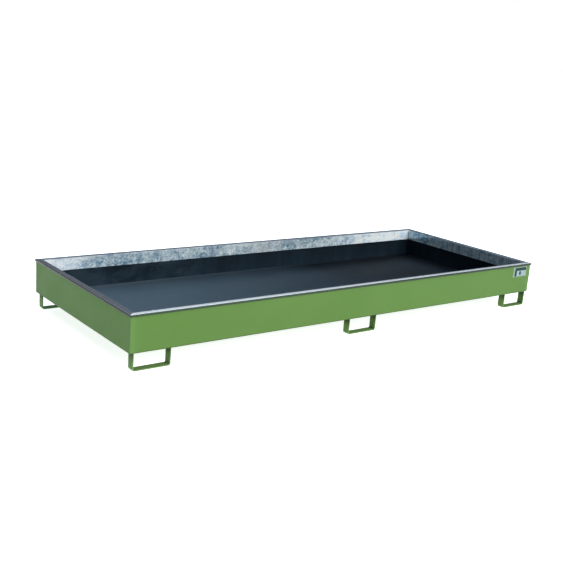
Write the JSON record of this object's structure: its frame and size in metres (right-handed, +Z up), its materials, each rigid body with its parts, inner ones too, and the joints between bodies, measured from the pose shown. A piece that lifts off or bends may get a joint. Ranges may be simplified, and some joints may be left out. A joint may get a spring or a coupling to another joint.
{
  "type": "spill containment tray",
  "caption": "Long low steel sump tray on strap feet, open at the top, with a plastic liner and a galvanised rim, for catching leaks under stored drums and containers.",
  "frame": {"origin": "on the ground under the middle of the tray, at the bottom centre of its box", "axes": "+X along the length to the right, +Y from the front wall to the back wall, +Z up"},
  "size_m": [3.3, 1.3, 0.32],
  "materials": {
    "green_paint": "satin powder coat",
    "galvanised_steel": "galvanised sheet with a soft spangle",
    "black_plastic": "satin extruded sheet",
    "nameplate_aluminium": "printed and anodised",
    "rivet_aluminium": "plain"
  },
  "bodies": {
    "root": {"floor_plate": "green_paint", "front_wall": "green_paint", "back_wall": "green_paint", "left_wall": "green_paint", "right_wall": "green_paint", "foot_front_left": "green_paint", "foot_front_middle": "green_paint", "foot_front_right": "green_paint", "foot_back_left": "green_paint", "foot_back_middle": "green_paint", "foot_back_right": "green_paint", "stiffener_left": "green_paint", "stiffener_middle": "green_paint", "stiffener_right": "green_paint", "liner": "black_plastic", "rim_rail_front": "galvanised_steel", "rim_rail_back": "galvanised_steel", "rim_rail_left": "galvanised_steel", "rim_rail_right": "galvanised_steel", "nameplate": "nameplate_aluminium", "nameplate_rivets": "rivet_aluminium"}
  },
  "joints": []
}
